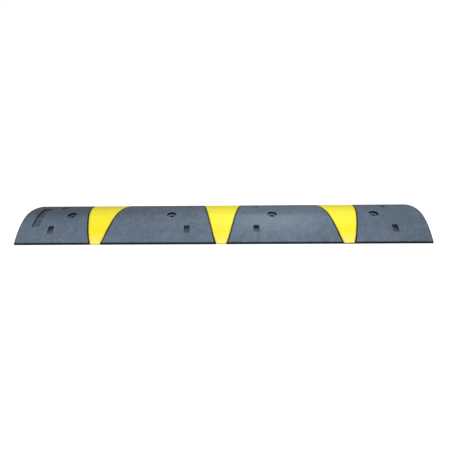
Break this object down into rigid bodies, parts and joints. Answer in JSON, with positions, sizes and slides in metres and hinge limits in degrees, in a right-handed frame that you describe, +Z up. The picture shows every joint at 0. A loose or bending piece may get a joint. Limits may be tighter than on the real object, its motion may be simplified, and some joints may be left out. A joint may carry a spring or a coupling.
{
  "type": "rubber speed bump",
  "caption": "Long domed black rubber speed bump with yellow inlays, bolted or spiked to the road through counterbored holes along its crest to slow vehicles.",
  "frame": {"origin": "centre of the flat underside, on the road surface", "axes": "+X along the bump, +Y across it in the direction of travel, towards the wide ends of the yellow inlays, +Z up"},
  "size_m": [1.8288, 0.3048, 0.0571],
  "materials": {
    "black_rubber": "matt recycled rubber, greyed by dust on top and black on its upright walls",
    "yellow_rubber": "matt traffic yellow, through-coloured"
  },
  "bodies": {
    "root": {"bump_body": "black_rubber", "stripe_left": "yellow_rubber", "stripe_centre": "yellow_rubber", "stripe_right": "yellow_rubber"}
  },
  "joints": []
}
